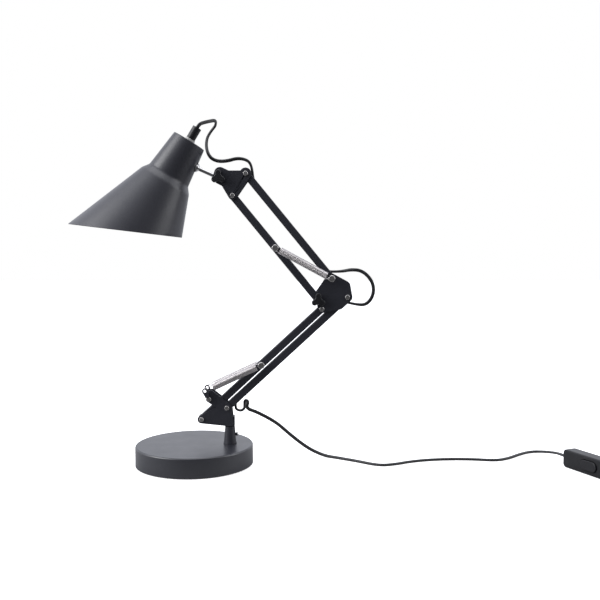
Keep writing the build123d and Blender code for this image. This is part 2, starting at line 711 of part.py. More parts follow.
def head_parts():
    top_end = step(H2, HEAD_TOP_L, 180)
    crown = step(KNUCKLE, CROWN_L, CROWN_ANGLE)
    waist = step(KNUCKLE, WAIST_L, WAIST_ANGLE)
    leg = hull((H1, LOBE_R), (H2, HEAD_EAR_R))
    middle = hull((H1, LOBE_R), (H2, HEAD_TOP_R), (top_end, HEAD_TOP_R), (waist, LOBE_R))
    left = hull((KNUCKLE, HEAD_EAR_R), (crown, HEAD_EAR_R), (waist, LOBE_R), (top_end, HEAD_TOP_R))
    front, rear = plate_pair(leg + middle + left, [H1, H2, KNUCKLE])
    bolts, nuts = through_bolts([H1, H2])
    return {
        "head_plate_front": front,
        "head_plate_rear": rear,
        "head_bolts": bolts + nuts,
        "head_washers": washers([H1, H2]),
    } | clamp("head", KNUCKLE)


def knuckle_and_rod():
    to_ball = Pos(KNUCKLE[0], 0, KNUCKLE[1]) * Rot(0, 90 - (ROD_ANGLE + 180), 0)
    knuckle = pin(KNUCKLE, KNUCKLE_R, -KNUCKLE_W / 2, KNUCKLE_W / 2)
    knuckle += to_ball * upright(KNUCKLE_NECK_R, KNUCKLE_REACH)
    knuckle -= pin(KNUCKLE, BOLT_R + FIT, -KNUCKLE_W, KNUCKLE_W)
    knuckle -= to_ball * Pos(0, 0, ROD_HOLE_END - SEAT) * upright(SHADE_ROD_R + FIT, KNUCKLE_REACH)
    rod = to_ball * Pos(0, 0, ROD_HOLE_END) * upright(SHADE_ROD_R, ROD_L - ROD_HOLE_END)
    rod += Pos(BALL[0], 0, BALL[1]) * Sphere(BALL_R)
    return {"head_knuckle": knuckle, "shade_rod": rod}


# ---- shade ----
# Drawn with +Z down the shade's axis from the neck's top and +X to the photograph's left.

SHADE_PLACE = Pos(NECK_TOP[0], 0, NECK_TOP[1]) * Rot(0, 180 + SHADE_TILT, 0)
AT_BALL = Pos(BALL[0], 0, BALL[1]) * Rot(0, 90 - ROD_ANGLE, 0)


def turned(points):
    """A solid of revolution from (radius, distance down the axis) points."""
    wire = Polyline(*[(r, 0, s) for r, s in points], close=True)
    return revolve(make_face(wire), Axis.Z)


def shade_shell():
    cone_l = MOUTH_MID_L + 60
    cone_r = SHOULDER_R + (cone_l - SHOULDER_L) * tan(radians(CONE_HALF_ANGLE))
    outer = [(NECK_TOP_R, 0), (NECK_END_R, NECK_L), (SHOULDER_R, SHOULDER_L), (cone_r, cone_l)]
    slanted = SHADE_T / cos(radians(CONE_HALF_ANGLE))
    inner = [(r - slanted, s) for r, s in outer[1:]]
    rim = NECK_TOP_R - SHADE_T
    body = turned([(0, 0)] + outer + inner[::-1] + [(rim, SHADE_T), (0, SHADE_T)])
    top_edge = body.edges().filter_by(GeomType.CIRCLE).sort_by(Axis.Z)
    top_edge = [e for e in top_edge if abs(e.center().Z) < 1e-6 and abs(e.radius - NECK_TOP_R) < 1e-6]
    body = fillet(top_edge, SHADE_T)
    below = Box(4 * cone_r, 4 * cone_r, cone_l, align=(Align.CENTER, Align.CENTER, Align.MIN))
    body -= Pos(0, 0, MOUTH_MID_L) * Rot(0, -MOUTH_SLOPE, 0) * below
    body -= Pos(0, 0, -1) * upright(NIPPLE_R + FIT, 2 + SHADE_T)
    body = SHADE_PLACE * body
    return body - AT_BALL * Pos(0, 0, -NECK_TOP_R / 2) * upright(SOCKET_HOLE_R, NECK_TOP_R)


def socket():
    back = BALL_R + SOCKET_BACK
    cup = Pos(0, 0, -back) * upright(SOCKET_R, back + SOCKET_PROUD)
    cup += Pos(0, 0, -SOCKET_FLANGE_AT - SOCKET_FLANGE_T) * upright(SOCKET_FLANGE_R, SOCKET_FLANGE_T)
    cup -= Sphere(BALL_R + FIT)
    return AT_BALL * (cup - upright(SOCKET_MOUTH_R, SOCKET_PROUD + 1))


def bulb_form(radius, neck_r, rim_r, top):
    """A round bulb with a conical shoulder, as a full solid from its neck's top."""
    stem_end = top + BULB_STEM_L
    rise = BULB_CENTRE_L - stem_end
    touch = atan2(rise, neck_r) - acos(radius / sqrt(neck_r ** 2 + rise ** 2))
    below = (touch - pi / 2) / 2
    shoulder, belly = [(radius * cos(t), 0, BULB_CENTRE_L - radius * sin(t)) for t in (touch, below)]
    lowest = (0, 0, BULB_CENTRE_L + radius)
    sides = Polyline((0, 0, top), (rim_r, 0, top), (neck_r, 0, stem_end), shoulder)
    outline = sides.edges() + [ThreePointArc(shoulder, belly, lowest), Line(lowest, (0, 0, top))]
    return revolve(make_face(outline), Axis.Z)


def bulb():
    """The glass, thin-walled and open at its neck, and the screw cap above it."""
    cap_top = SHADE_T + HOLDER_L - HOLDER_BORE_L + SEAT
    neck = cap_top + BULB_CAP_L
    glass = bulb_form(BULB_R, BULB_NECK_R, BULB_CAP_R, neck)
    glass -= bulb_form(BULB_R - GLASS_T, BULB_NECK_R - GLASS_T, BULB_CAP_R - GLASS_T, neck)
    cap = Pos(0, 0, cap_top) * upright(BULB_CAP_R, BULB_CAP_L)
    return SHADE_PLACE * glass, SHADE_PLACE * cap


def shade_parts():
    holder = Pos(0, 0, SHADE_T) * upright(HOLDER_R, HOLDER_L)
    bore_s = SHADE_T + HOLDER_L - HOLDER_BORE_L
    holder -= Pos(0, 0, bore_s) * upright(HOLDER_BORE_R, HOLDER_BORE_L)
    holder -= upright(NIPPLE_R + FIT, bore_s)
    glass, cap = bulb()
    nipple = Pos(0, 0, -NIPPLE_UP) * (upright(NIPPLE_R, NIPPLE_UP + NIPPLE_DOWN)
                                      - upright(NIPPLE_BORE_R, NIPPLE_UP + NIPPLE_DOWN))
    gland = Pos(0, 0, -GLAND_NUT_H) * (upright(GLAND_NUT_R, GLAND_NUT_H) - upright(NIPPLE_R + FIT, GLAND_NUT_H))
    grip_end = GLAND_NUT_H + GRIP_L
    grip = Pos(0, 0, -grip_end) * upright(GRIP_R, GRIP_L)
    grip -= Pos(0, 0, -NIPPLE_UP - SEAT) * upright(NIPPLE_R + FIT, NIPPLE_UP)
    grip -= Pos(0, 0, -grip_end) * upright(CORD_R + FIT, GRIP_L)
    lead = Pos(0, 0, -grip_end) * upright(CORD_R, grip_end + NIPPLE_DOWN + LEAD_INSIDE)
    return {
        "shade": shade_shell(),
        "ball_socket": socket(),
        "lampholder": SHADE_PLACE * holder,
        "bulb_glass": glass,
        "bulb_cap": cap,
        "gland_nipple": SHADE_PLACE * nipple,
        "gland_nut": SHADE_PLACE * gland,
        "cord_grip": SHADE_PLACE * grip,
        "lamp_lead": SHADE_PLACE * lead,
    }


# ---- free cords ----
# Each route starts and ends where it meets a bar, the grip, the switch, the coil or the plug.

def leaving(at, way, ahead):
    """The first two points of a cord that leaves a bar: its mouth, and one straight ahead of it."""
    further = step(at, ahead, way)
    return [(at[0], 0, at[1]), (further[0], 0, further[1])]


def beside(pivot, points):
    """Points of a cord that are given from the pivot that it hangs at."""
    return [(pivot[0] + x, y, pivot[1] + z) for x, y, z in points]


def free_cords():
    upper_top = leaving(*mouth(E4, UPPER_ANGLE, UPPER_L - UPPER_ENTRY[0], UPPER_ENTRY[1], False), HEAD_CORD_OUT)
    upper_low = leaving(*mouth(E4, UPPER_ANGLE, *UPPER_EXIT), ELBOW_CORD_OUT)
    lower_top = leaving(*mouth(P2, LOWER_ANGLE, LOWER_L - LOWER_ENTRY[0], LOWER_ENTRY[1], False), ELBOW_CORD_IN)
    lower_low = leaving(*mouth(P2, LOWER_ANGLE, *LOWER_EXIT), EXIT_CORD_OUT)
    grip_top = step(NECK_TOP, GLAND_NUT_H + GRIP_L, 90 - SHADE_TILT)
    head = leaving(grip_top, 90 - SHADE_TILT, GRIP_CORD_OUT) + beside(H2, [
        (-53.4, 4, 65.6), (-45.8, 9, 69.3), (-38.1, 18, 73.3), (-38.5, 27, 67.6), (-46.4, 31, 60),
        (-53.2, 27, 48.5), (-53.2, 18, 33.3), (-47.5, 10, 21), (-36.7, 4, 15.2), (-23.8, 1, 15.9),
        (-9.9, 0, 21.6), (3.4, -1, 17.2)
    ]) + upper_top[::-1]
    elbow = upper_low + beside(E2, [
        (4.9, 1, 34.8), (17.9, 2, 33.6), (28.4, 2, 25.1), (34.2, 2, 13.1), (32.4, 1, -0.4),
        (23.9, 0.5, -10.2)
    ]) + lower_top[::-1]
    drop_start = beside(P2, [(36.157, 2, -6.476)])[0]
    leave = lower_low + beside(P2, [
        (15.3, -1.5, -5.4), (20.9, 1.5, -4.4), (22.6, 4, 1.5), (22.3, 2.5, 8.5), (27.1, -2, 9),
        (26.9, -4.5, 2), (29.407, -0.25, -2.876)
    ]) + [drop_start]
    switch_in = on_switch(SWITCH_ENTRY_DEPTH, 0)
    drop = [drop_start, (101.0, 9.5, 54.5), (124.0, 19.0, 31.5), (146.0, 27.0, 12.5), (167.0, 30.5, FLOOR_Z),
            (185.0, 19.5, FLOOR_Z), (208.0, 4.5, FLOOR_Z), (235.0, -17.0, FLOOR_Z), (255.0, -12.5, FLOOR_Z),
            (281.0, 3.0, FLOOR_Z), (316.0, 12.5, FLOOR_Z), (357.0, 13.5, FLOOR_Z), (390.0, 5.5, FLOOR_Z),
            (411.0, 18.5, FLOOR_Z), (430.0, 38.5, FLOOR_Z), (450.0, 52.0, FLOOR_Z), (467.0, 45.0, 3.0),
            (474.0, 21.0, 7.5), on_switch(-SWITCH_LEAD_IN, 0), switch_in]
    coil_start, coil_end = coil_point(0)[0], coil_point(COIL_TURNS)[0]
    lead = [on_switch(SWITCH_L - SWITCH_ENTRY_DEPTH, 0), on_switch(SWITCH_L + 12, 0), on_switch(SWITCH_L + 26, -5.5),
            on_switch(SWITCH_L + 41, coil_start.Z - SWITCH_W / 2), tuple(coil_start)]
    plug_lead = [tuple(coil_end), on_plug(-PLUG_LEAD * 0.55), on_plug(0)]
    return {
        "head_cord": cord_tube("head cord", head),
        "elbow_cord": cord_tube("elbow cord", elbow),
        "exit_cord": cord_tube("cord at the bracket", leave),
        "mains_cord": cord_tube("mains cord", drop),
        "switch_lead": cord_tube("lead from the switch", lead),
        "plug_lead": cord_tube("lead to the plug", plug_lead),
    }


def coil_point(turn):
    """A point of the coil and the cord's way there: in, up one layer at the inner turn, and out again."""
    inward = (COIL_TURNS - COIL_CLIMB) / 2
    span = COIL_PITCH * inward
    if turn <= inward:
        radius, rate, height, climb = COIL_R - COIL_PITCH * turn, -COIL_PITCH, 0, 0
    elif turn < inward + COIL_CLIMB:
        radius, rate = COIL_R - span, 0
        climb = COIL_LAYER / COIL_CLIMB
        height = climb * (turn - inward)
    else:
        out = turn - inward - COIL_CLIMB
        radius, rate, height, climb = COIL_R - span + COIL_PITCH * out, COIL_PITCH, COIL_LAYER, 0
    angle = radians(COIL_START + 360 * turn)
    ray = Vector(cos(angle), sin(angle), 0)
    round_way = Vector(-sin(angle), cos(angle), 0)
    place = Vector(COIL_X, COIL_Y, COIL_Z + height) + ray * radius
    way = (round_way * (2 * pi * radius) + ray * rate + Vector(0, 0, climb)).normalized()
    return place, way


def coil_parts():
    edges = []
    place, way = coil_point(0)
    turn = 0
    while turn < COIL_TURNS:
        following = turn + 0.5
        next_place, next_way = coil_point(following)
        edges += biarc(place, way, next_place, next_way)
        place, way, turn = next_place, next_way, following
    path = Wire(edges)
    coil = swept(path, CORD_D)
    ideal = pi * CORD_R ** 2 * path.length
    print(f"coil: {path.length:.0f} mm, gap to itself {own_gap(path, CORD_D):.2f} mm, "
          f"volume {coil.volume / ideal:.4f} of its section")
    inner = COIL_R - COIL_PITCH * (COIL_TURNS - COIL_CLIMB) / 2
    low = inner - CORD_R - COIL_PITCH / 2
    high = COIL_R + CORD_R + SEAT
    top = COIL_Z + COIL_LAYER + CORD_R + SEAT
    band = Box(high - low + 2 * TIE_T, TIE_W, top + TIE_T, align=(Align.CENTER, Align.CENTER, Align.MIN))
    band -= Pos(0, 0, TIE_T) * Box(high - low, 2 * TIE_W, top - TIE_T, align=(Align.CENTER, Align.CENTER, Align.MIN))
    tie = Pos(COIL_X, COIL_Y, 0) * Rot(0, 0, TIE_AT) * Pos((high + low) / 2, 0, 0) * band
    return {"cord_coil": coil, "cord_tie": tie}


# ---- switch and plug ----
# The switch is drawn with +X along the cord, +Z up and its face towards -Y.

SWITCH_PLACE = Pos(SWITCH_X, SWITCH_Y, 0) * Rot(0, 0, SWITCH_HEADING)


def on_switch(along, rise):
    """A point on the switch's middle line, that far from its first end, above its middle."""
    at = SWITCH_PLACE * Pos(along, 0, SWITCH_W / 2 + rise)
    return (at.position.X, at.position.Y, at.position.Z)


def stadium(length, height):
    return SlotOverall(length, height)


def upright_slab(outline, y_low, y_high):
    """Like slab, for outlines drawn round the rocker's centre."""
    return Pos(ROCKER_ALONG, 0, SWITCH_W / 2) * slab(outline, y_low, y_high)


def switch_parts():
    half = SWITCH_T / 2
    outline = Pos(SWITCH_L / 2, SWITCH_W / 2) * RectangleRounded(SWITCH_L, SWITCH_W, SWITCH_END_R)
    body = slab(outline, -half, half)
    body = fillet(body.faces().sort_by(Axis.Y)[0].edges() + body.faces().sort_by(Axis.Y)[-1].edges(), SWITCH_EDGE_R)
    inner = Pos(SWITCH_L / 2, SWITCH_W / 2) * RectangleRounded(
        SWITCH_L - 2 * SWITCH_WALL, SWITCH_W - 2 * SWITCH_WALL, SWITCH_END_R - SWITCH_WALL)
    body -= slab(inner, -half + SWITCH_WALL, half - SWITCH_WALL)
    cord_hole = Pos(-1, 0, SWITCH_W / 2) * Rot(0, 90, 0) * upright(CORD_R + FIT, SWITCH_L + 2)
    body -= cord_hole
    collar = upright_slab(stadium(ROCKER_L + 2 * ROCKER_GAP + 3, ROCKER_H + 2 * ROCKER_GAP + 3),
                          -half + SWITCH_WALL, -half + ROCKER_DEPTH)
    body += collar
    body -= upright_slab(stadium(ROCKER_L + 2 * ROCKER_GAP, ROCKER_H + 2 * ROCKER_GAP), -half - 1, -half + ROCKER_DEPTH)
    pivot = Pos(ROCKER_ALONG, -half + ROCKER_PIVOT, SWITCH_W / 2)
    trunnion_l = ROCKER_H + 2 * ROCKER_GAP + 2
    body -= pivot * Cylinder(TRUNNION_R + FIT, trunnion_l + SEAT)
    rocker = upright_slab(stadium(ROCKER_L, ROCKER_H), -half - ROCKER_PROUD, -half + ROCKER_DEPTH - SEAT)
    rocker = fillet(rocker.faces().sort_by(Axis.Y)[0].edges(), ROCKER_EDGE_R)
    rocker += pivot * Cylinder(TRUNNION_R, trunnion_l)
    front = body & Pos(SWITCH_L / 2, -SWITCH_T / 2, SWITCH_W / 2) * Box(2 * SWITCH_L, SWITCH_T, 2 * SWITCH_W)
    rear = body & Pos(SWITCH_L / 2, SWITCH_T / 2, SWITCH_W / 2) * Box(2 * SWITCH_L, SWITCH_T, 2 * SWITCH_W)
    return {
        "switch_front": SWITCH_PLACE * front,
        "switch_rear": SWITCH_PLACE * rear,
        "switch_rocker": SWITCH_PLACE * rocker,
    }


PLUG_PLACE = Pos(PLUG_X, PLUG_Y, PLUG_T / 2) * Rot(0, 0, PLUG_HEADING) * Rot(0, 90, 0)


def on_plug(along):
    """A point on the plug's middle line, that far from where its cord goes in."""
    at = PLUG_PLACE * Pos(0, 0, along)
    return (at.position.X, at.position.Y, at.position.Z)


def plug_parts():
    """A flat two-pin plug that lies on its broad side, with a tapered strain relief."""
    neck = Cone(CORD_R + 0.8, PLUG_NECK_R, PLUG_NECK_L, align=(Align.CENTER, Align.CENTER, Align.MIN))
    outline = Polyline((-PLUG_TAIL_W / 2, 0), (PLUG_TAIL_W / 2, 0), (PLUG_W / 2, PLUG_L * 0.45),
                       (PLUG_W / 2, PLUG_L), (-PLUG_W / 2, PLUG_L), (-PLUG_W / 2, PLUG_L * 0.45), close=True)
    block = extrude(make_face(outline), PLUG_T / 2, both=True)
    block = fillet(block.edges().filter_by(Axis.Z), 1.5)
    block = fillet(block.edges().group_by(Axis.Z)[0] + block.edges().group_by(Axis.Z)[-1], 1.2)
    block = Pos(0, 0, PLUG_NECK_L) * Rot(0, 0, 90) * Rot(90, 0, 0) * block
    pins = []
    for sense in (-1, 1):
        prong = Pos(0, sense * PIN_PITCH / 2, PLUG_NECK_L + PLUG_L) * upright(PIN_R, PIN_L)
        pins.append(PLUG_PLACE * fillet(prong.faces().sort_by(Axis.Z)[-1].edges(), PIN_R * 0.6))
    return {"plug_body": PLUG_PLACE * (neck + block), "plug_pins": pins}


# ---- the whole lamp ----

def lamp():
    nodes = {}
    for made in (base_parts(), post_parts(), bracket_parts(), arm_parts(), spring_parts(), elbow_parts(),
                 head_parts(), knuckle_and_rod(), shade_parts(), free_cords(), coil_parts(), switch_parts(),
                 plug_parts()):
        nodes |= made
    return nodes


os.makedirs("parts", exist_ok=True)
for name, shape in lamp().items():
    whole = Compound(children=shape) if isinstance(shape, list) else shape
    export_step(whole, f"parts/{name}.step")
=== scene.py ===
import bmesh
import bpy
from math import atan2, cos, degrees, pi, radians, sin, sqrt, tan
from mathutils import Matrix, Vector


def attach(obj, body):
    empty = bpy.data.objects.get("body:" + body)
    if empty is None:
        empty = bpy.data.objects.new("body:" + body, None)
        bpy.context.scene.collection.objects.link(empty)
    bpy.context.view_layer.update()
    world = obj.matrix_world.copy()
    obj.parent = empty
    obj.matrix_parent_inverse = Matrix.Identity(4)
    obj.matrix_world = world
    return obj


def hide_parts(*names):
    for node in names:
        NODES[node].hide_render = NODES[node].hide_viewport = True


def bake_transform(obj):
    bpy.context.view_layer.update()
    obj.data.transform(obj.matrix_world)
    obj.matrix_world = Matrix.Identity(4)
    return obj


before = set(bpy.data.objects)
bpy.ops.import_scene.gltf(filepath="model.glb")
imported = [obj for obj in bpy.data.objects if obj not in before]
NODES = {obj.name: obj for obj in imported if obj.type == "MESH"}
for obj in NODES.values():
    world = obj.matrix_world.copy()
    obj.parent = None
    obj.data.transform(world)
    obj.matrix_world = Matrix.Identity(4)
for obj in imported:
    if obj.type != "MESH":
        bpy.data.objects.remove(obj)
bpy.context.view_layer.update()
SCENE = bpy.context.scene
MM = 0.001
Y, Z = Vector((0, 1, 0)), Vector((0, 0, 1))


# ---- camera, at the photograph's viewing angle ----

def add_camera():
    data = bpy.data.cameras.new("photo_camera")
    data.sensor_width = 36.0
    data.angle = radians(42.2)
    data.clip_start, data.clip_end = 0.05, 50.0
    camera = bpy.data.objects.new("photo_camera", data)
    camera.location = (0.1355775, -0.9868359, 0.2726804)
    camera.rotation_euler = (radians(90 - 3.607), 0, 0)
    SCENE.collection.objects.link(camera)
    SCENE.camera = camera


add_camera()


# ---- materials ----

class Nodes:
    """A material's node tree, with short ways to add to it."""

    def __init__(self, name):
        self.material = bpy.data.materials.new(name)
        self.material.use_nodes = True
        self.tree = self.material.node_tree
        self.shader = self.tree.nodes["Principled BSDF"]
        coordinates = self.tree.nodes.new("ShaderNodeTexCoord")
        self.place = coordinates.outputs["Object"]

    def add(self, kind, **values):
        node = self.tree.nodes.new(kind)
        for key, value in values.items():
            setattr(node, key, value)
        return node

    def link(self, output, node, socket):
        self.tree.links.new(output, node.inputs[socket])

    def noise(self, scale, detail=3.0, roughness=0.55, stretch=None):
        node = self.add("ShaderNodeTexNoise")
        node.inputs["Scale"].default_value = scale
        node.inputs["Detail"].default_value = detail
        node.inputs["Roughness"].default_value = roughness
        place = self.place
        if stretch:
            mapping = self.add("ShaderNodeMapping")
            mapping.inputs["Scale"].default_value = stretch
            self.link(place, mapping, "Vector")
            place = mapping.outputs["Vector"]
        self.link(place, node, "Vector")
        return node.outputs["Fac"]

    def ramp(self, value, low, high, low_at=0.35, high_at=0.65):
        node = self.add("ShaderNodeValToRGB")
        first, last = node.color_ramp.elements
        first.position, last.position = low_at, high_at
        first.color, last.color = (*low, 1), (*high, 1)
        self.link(value, node, "Fac")
        return node.outputs["Color"]

    def spread(self, value, low, high):
        node = self.add("ShaderNodeMapRange")
        node.inputs["To Min"].default_value = low
        node.inputs["To Max"].default_value = high
        self.link(value, node, "Value")
        return node.outputs["Result"]

    def bump(self, height, depth, strength, under=None):
        node = self.add("ShaderNodeBump")
        node.inputs["Strength"].default_value = strength
        node.inputs["Distance"].default_value = depth
        self.link(height, node, "Height")
        if under:
            self.link(under, node, "Normal")
        return node.outputs["Normal"]

    def finish(self, colour, roughness, normal=None, **values):
        self.link(colour, self.shader, "Base Color")
        self.link(roughness, self.shader, "Roughness")
        if normal:
            self.link(normal, self.shader, "Normal")
        for key, value in values.items():
            self.shader.inputs[key.replace("_", " ")].default_value = value
        return self.material


def powder_coat(name, dark, light, roughness, grain, depth=0.00004, specular=0.5):
    """Fine textured paint: grain in the bump, small changes of tone, and slight unevenness of gloss."""
    n = Nodes(name)
    colour = n.ramp(n.noise(grain * 0.45, 4.0), dark, light, 0.3, 0.7)
    gloss = n.spread(n.noise(38.0, 2.0), roughness - 0.05, roughness + 0.06)
    fine = n.bump(n.noise(grain, 2.0, 0.6), depth, 0.55)
    return n.finish(colour, gloss, n.bump(n.noise(grain * 0.2, 2.0), depth, 0.2, fine),
                    Specular_IOR_Level=specular)


def metal(name, dark, light, low, high, scratch=(1, 1, 14), grain=420.0):
    """Bright metal with faint scratches along one way."""
    n = Nodes(name)
    streaks = n.noise(grain, 3.0, 0.6, scratch)
    colour = n.ramp(n.noise(160.0, 3.0), dark, light, 0.3, 0.7)
    return n.finish(colour, n.spread(streaks, low, high), n.bump(streaks, 0.00002, 0.15), Metallic=1.0)


def plastic(name, dark, light, low, high, grain=700.0, strength=0.25):
    n = Nodes(name)
    colour = n.ramp(n.noise(90.0, 3.0), dark, light, 0.35, 0.65)
    return n.finish(colour, n.spread(n.noise(60.0, 2.0), low, high),
                    n.bump(n.noise(grain, 2.0), 0.00003, strength))


def felt():
    n = Nodes("felt_pad")
    fibres = n.noise(900.0, 6.0, 0.75)
    colour = n.ramp(fibres, (0.012, 0.012, 0.013), (0.035, 0.034, 0.036))
    return n.finish(colour, n.spread(fibres, 0.85, 1.0), n.bump(fibres, 0.0003, 0.8), Sheen_Weight=0.3)


def milky_glass():
    n = Nodes("opal_glass")
    clouds = n.noise(45.0, 2.0)
    colour = n.ramp(clouds, (0.86, 0.85, 0.82), (0.93, 0.92, 0.9))
    return n.finish(colour, n.spread(clouds, 0.16, 0.24), None, Subsurface_Weight=0.25,
                    Subsurface_Scale=0.01,
                    Coat_Weight=0.4, Coat_Roughness=0.08)


BLACK = powder_coat("black_powder_coat", (0.0260, 0.0268, 0.0350), (0.0340, 0.0350, 0.0450), 0.42, 1500.0)
BASE = powder_coat("base_powder_coat", (0.0155, 0.0165, 0.0235), (0.0215, 0.0228, 0.0320),
                   0.33, 1350.0, 0.00004, 1.0)
SHADE = powder_coat("shade_powder_coat", (0.0300, 0.0305, 0.0390), (0.0400, 0.0405, 0.0510),
                    0.37, 1300.0, 0.00005, 0.7)
WHITE = powder_coat("white_enamel", (0.80, 0.80, 0.79), (0.86, 0.86, 0.85), 0.34, 700.0)
NICKEL = metal("nickel_plate", (0.62, 0.60, 0.58), (0.76, 0.74, 0.72), 0.16, 0.34)
SPRING = metal("spring_wire", (0.58, 0.553, 0.553), (0.70, 0.668, 0.668), 0.28, 0.40, (1, 1, 1))
CHROME = metal("chrome", (0.60, 0.59, 0.59), (0.70, 0.69, 0.69), 0.06, 0.14)
IRON = metal("cast_iron", (0.10, 0.10, 0.10), (0.18, 0.17, 0.17), 0.5, 0.75, (1, 1, 1), 260.0)
NYLON = plastic("white_nylon", (0.66, 0.65, 0.62), (0.78, 0.77, 0.74), 0.35, 0.5)
KNOB = plastic("knob_plastic", (0.0085, 0.0085, 0.0105), (0.015, 0.015, 0.018), 0.34, 0.46, 1100.0, 0.35)
SWITCH = plastic("switch_plastic", (0.006, 0.006, 0.0078), (0.011, 0.011, 0.0138), 0.32, 0.44, 1400.0, 0.35)
RUBBER = plastic("cord_sheath", (0.010, 0.010, 0.011), (0.020, 0.020, 0.022), 0.36, 0.52, 500.0, 0.3)
FELT = felt()
OPAL = milky_glass()

CAD_MATERIALS = {
    BASE: "base_cover",
    IRON: "base_weight",
    FELT: "base_pad",
    BLACK: "base_post bracket_plate_front bracket_plate_rear swivel_block spring_anchors "
           "lower_cord_bar lower_link_bar upper_cord_bar upper_link_bar "
           "elbow_plate_front elbow_plate_rear head_plate_front head_plate_rear "
           "head_knuckle post_set_screw",
    NICKEL: "post_bolt bracket_bolts lower_spring_bolt elbow_bolts elbow_spring_bolt elbow_clamp_bolt "
            "upper_spring_bolt head_bolts head_clamp_bolt gland_nipple bulb_cap plug_pins",
    CHROME: "shade_rod ball_socket",
    NYLON: "bracket_washers elbow_washers head_washers gland_nut",
    KNOB: "elbow_knob head_knob lampholder cord_grip cord_tie",
    SWITCH: "switch_front switch_rear switch_rocker plug_body",
}


def dress(names, material):
    for name in names.split():
        mesh = NODES[name].data
        mesh.materials.clear()
        mesh.materials.append(material)


for coat, names in CAD_MATERIALS.items():
    dress(names, coat)


# ---- making pieces ----

def piece(name, vertices, faces, material, smooth=True, sharp=None):
    mesh = bpy.data.meshes.new(name)
    mesh.from_pydata([tuple(v) for v in vertices], [], faces)
    mesh.validate()
    mesh.update()
    build = bmesh.new()
    build.from_mesh(mesh)
    bmesh.ops.recalc_face_normals(build, faces=build.faces)
    build.to_mesh(mesh)
    build.free()
    mesh.materials.append(material)
    if smooth:
        mesh.shade_smooth()
        if sharp:
            mesh.set_sharp_from_angle(angle=radians(sharp))
    made = bpy.data.objects.new(name, mesh)
    SCENE.collection.objects.link(made)
    return made


def tube_mesh(name, rings, material):
    """A closed tube through rings of points."""
    count = len(rings[0])
    vertices = [p for ring in rings for p in ring]
    faces = []
    for i in range(len(rings) - 1):
        for j in range(count):
            k = (j + 1) % count
            faces.append((i * count + j, i * count + k, (i + 1) * count + k, (i + 1) * count + j))
    faces.append(tuple(range(count)))
    last = (len(rings) - 1) * count
    faces.append(tuple(last + j for j in reversed(range(count))))
    return piece(name, vertices, faces, material, sharp=60)


# ---- cords ----
# A flat twin cord. Its points are those of the solid cords' routes, in millimetres here.

SETTLE_Z = 13 * MM    # below this the cord turns flat to the table
LOBE_R = 1.6 * MM
LOBE_OFF = 0.65 * MM
STACK = 3.3 * MM     # one layer of the coil on the next

HEAD_ROUTE = [
    (6.731, 0, 427.062), (9.4, 0, 431.5), (13.6, 4, 433.8), (20.3, 9, 436.4), (28.0, 18, 439.4),
    (27.2, 27, 434.2), (20.6, 31, 427.6), (15.2, 27, 417.6), (15.6, 18, 403.4), (20.9, 10, 391.3),
    (30.9, 4, 385.6), (43.7, 1, 385.6), (57.3, 0, 389.4), (70.2, -1, 386.6), (74.916, 0, 378.842),
    (75.919, 0, 369.898)]
ELBOW_ROUTE = [
    (177.183, 0, 246.617), (187.683, 0, 246.617), (200.473, 1, 249.173), (213.473, 2, 247.973),
    (223.973, 2, 239.473),
    (229.773, 2, 227.473), (227.973, 1, 213.973), (219.473, 0.5, 204.173), (207.252, 0, 204.724),
    (197.508, 0, 206.973)]
EXIT_ROUTE = [
    (53.047, 0, 73.669), (53.14, 0, 71.3), (56.2, -0.8, 68.9), (61.0, -1.5, 68.7), (64.3, 0, 71.2),
    (64.2, 3.0, 75.2), (64.2, 3.6, 79.0), (64.9, 1.8, 81.4), (68.1, -1.4, 81.4), (68.9, -3.6, 78.8),
    (67.4, -4.2, 74.6), (69.6, -2.4, 70.9), (74.0, 0, 68.6), (78.5, 2, 66.5)]
MAINS_ROUTE = [
    (78.5, 2, 66.5), (101.0, 9.5, 54.5), (124.0, 19.0, 31.5), (146.0, 27.0, 12.5), (167.0, 30.5, 1.7),
    (185.0, 19.5, 1.7), (208.0, 4.5, 1.7), (235.0, -17.0, 1.7), (255.0, -12.5, 1.7), (281.0, 3.0, 1.7),
    (316.0, 12.5, 1.7), (357.0, 13.5, 1.7), (390.0, 5.5, 1.7), (411.0, 18.5, 1.7), (430.0, 38.5, 1.7),
    (450.0, 52.0, 1.7), (467.0, 45.0, 3.0), (474.0, 21.0, 7.5), (472.439, -4.723, 11.5),
    (476.869, -14.354, 11.5)]
SUPPLY_START = [
    (511.468, -89.578, 11.5), (517.151, -101.934, 11.5), (523.001, -114.653, 6.0), (529.269, -128.281, 2.4)]
PLUG_LEAD = [(593.828, -110.694, 5.5), (588.563, -99.247, 6.6), (582.128, -85.256, 6.85)]
UPPER_BAR_ROUTE = [
    (75.919, 0, 369.898), (77.301, 0, 357.581), (84.2, 0, 349.2), (162.5, 0, 253.9), (168.448, 0, 246.617),
    (177.183, 0, 246.617)]
LOWER_BAR_ROUTE = [
    (197.508, 0, 206.973), (189.546, 0, 208.811), (183.3, 0, 203.05), (58.6, 0, 87.98), (52.632, 0, 82.470),
    (53.047, 0, 73.669)]

COIL_CENTRE = (563.847, -124.484)
COIL_START = -155.3
COIL_R = 33.0
COIL_PITCH = 4.8
COIL_TURNS_IN = 3.5
COIL_LOW = 2.3
COIL_STEP = 20.0      # degrees between two points of a turn
TIE_AT = -60.0        # the band round the coil: its place, room beside the cord, thickness, width and bend
TIE_ROOM, TIE_T, TIE_W, TIE_BEND = 3.2, 0.7, 5.0, 1.2


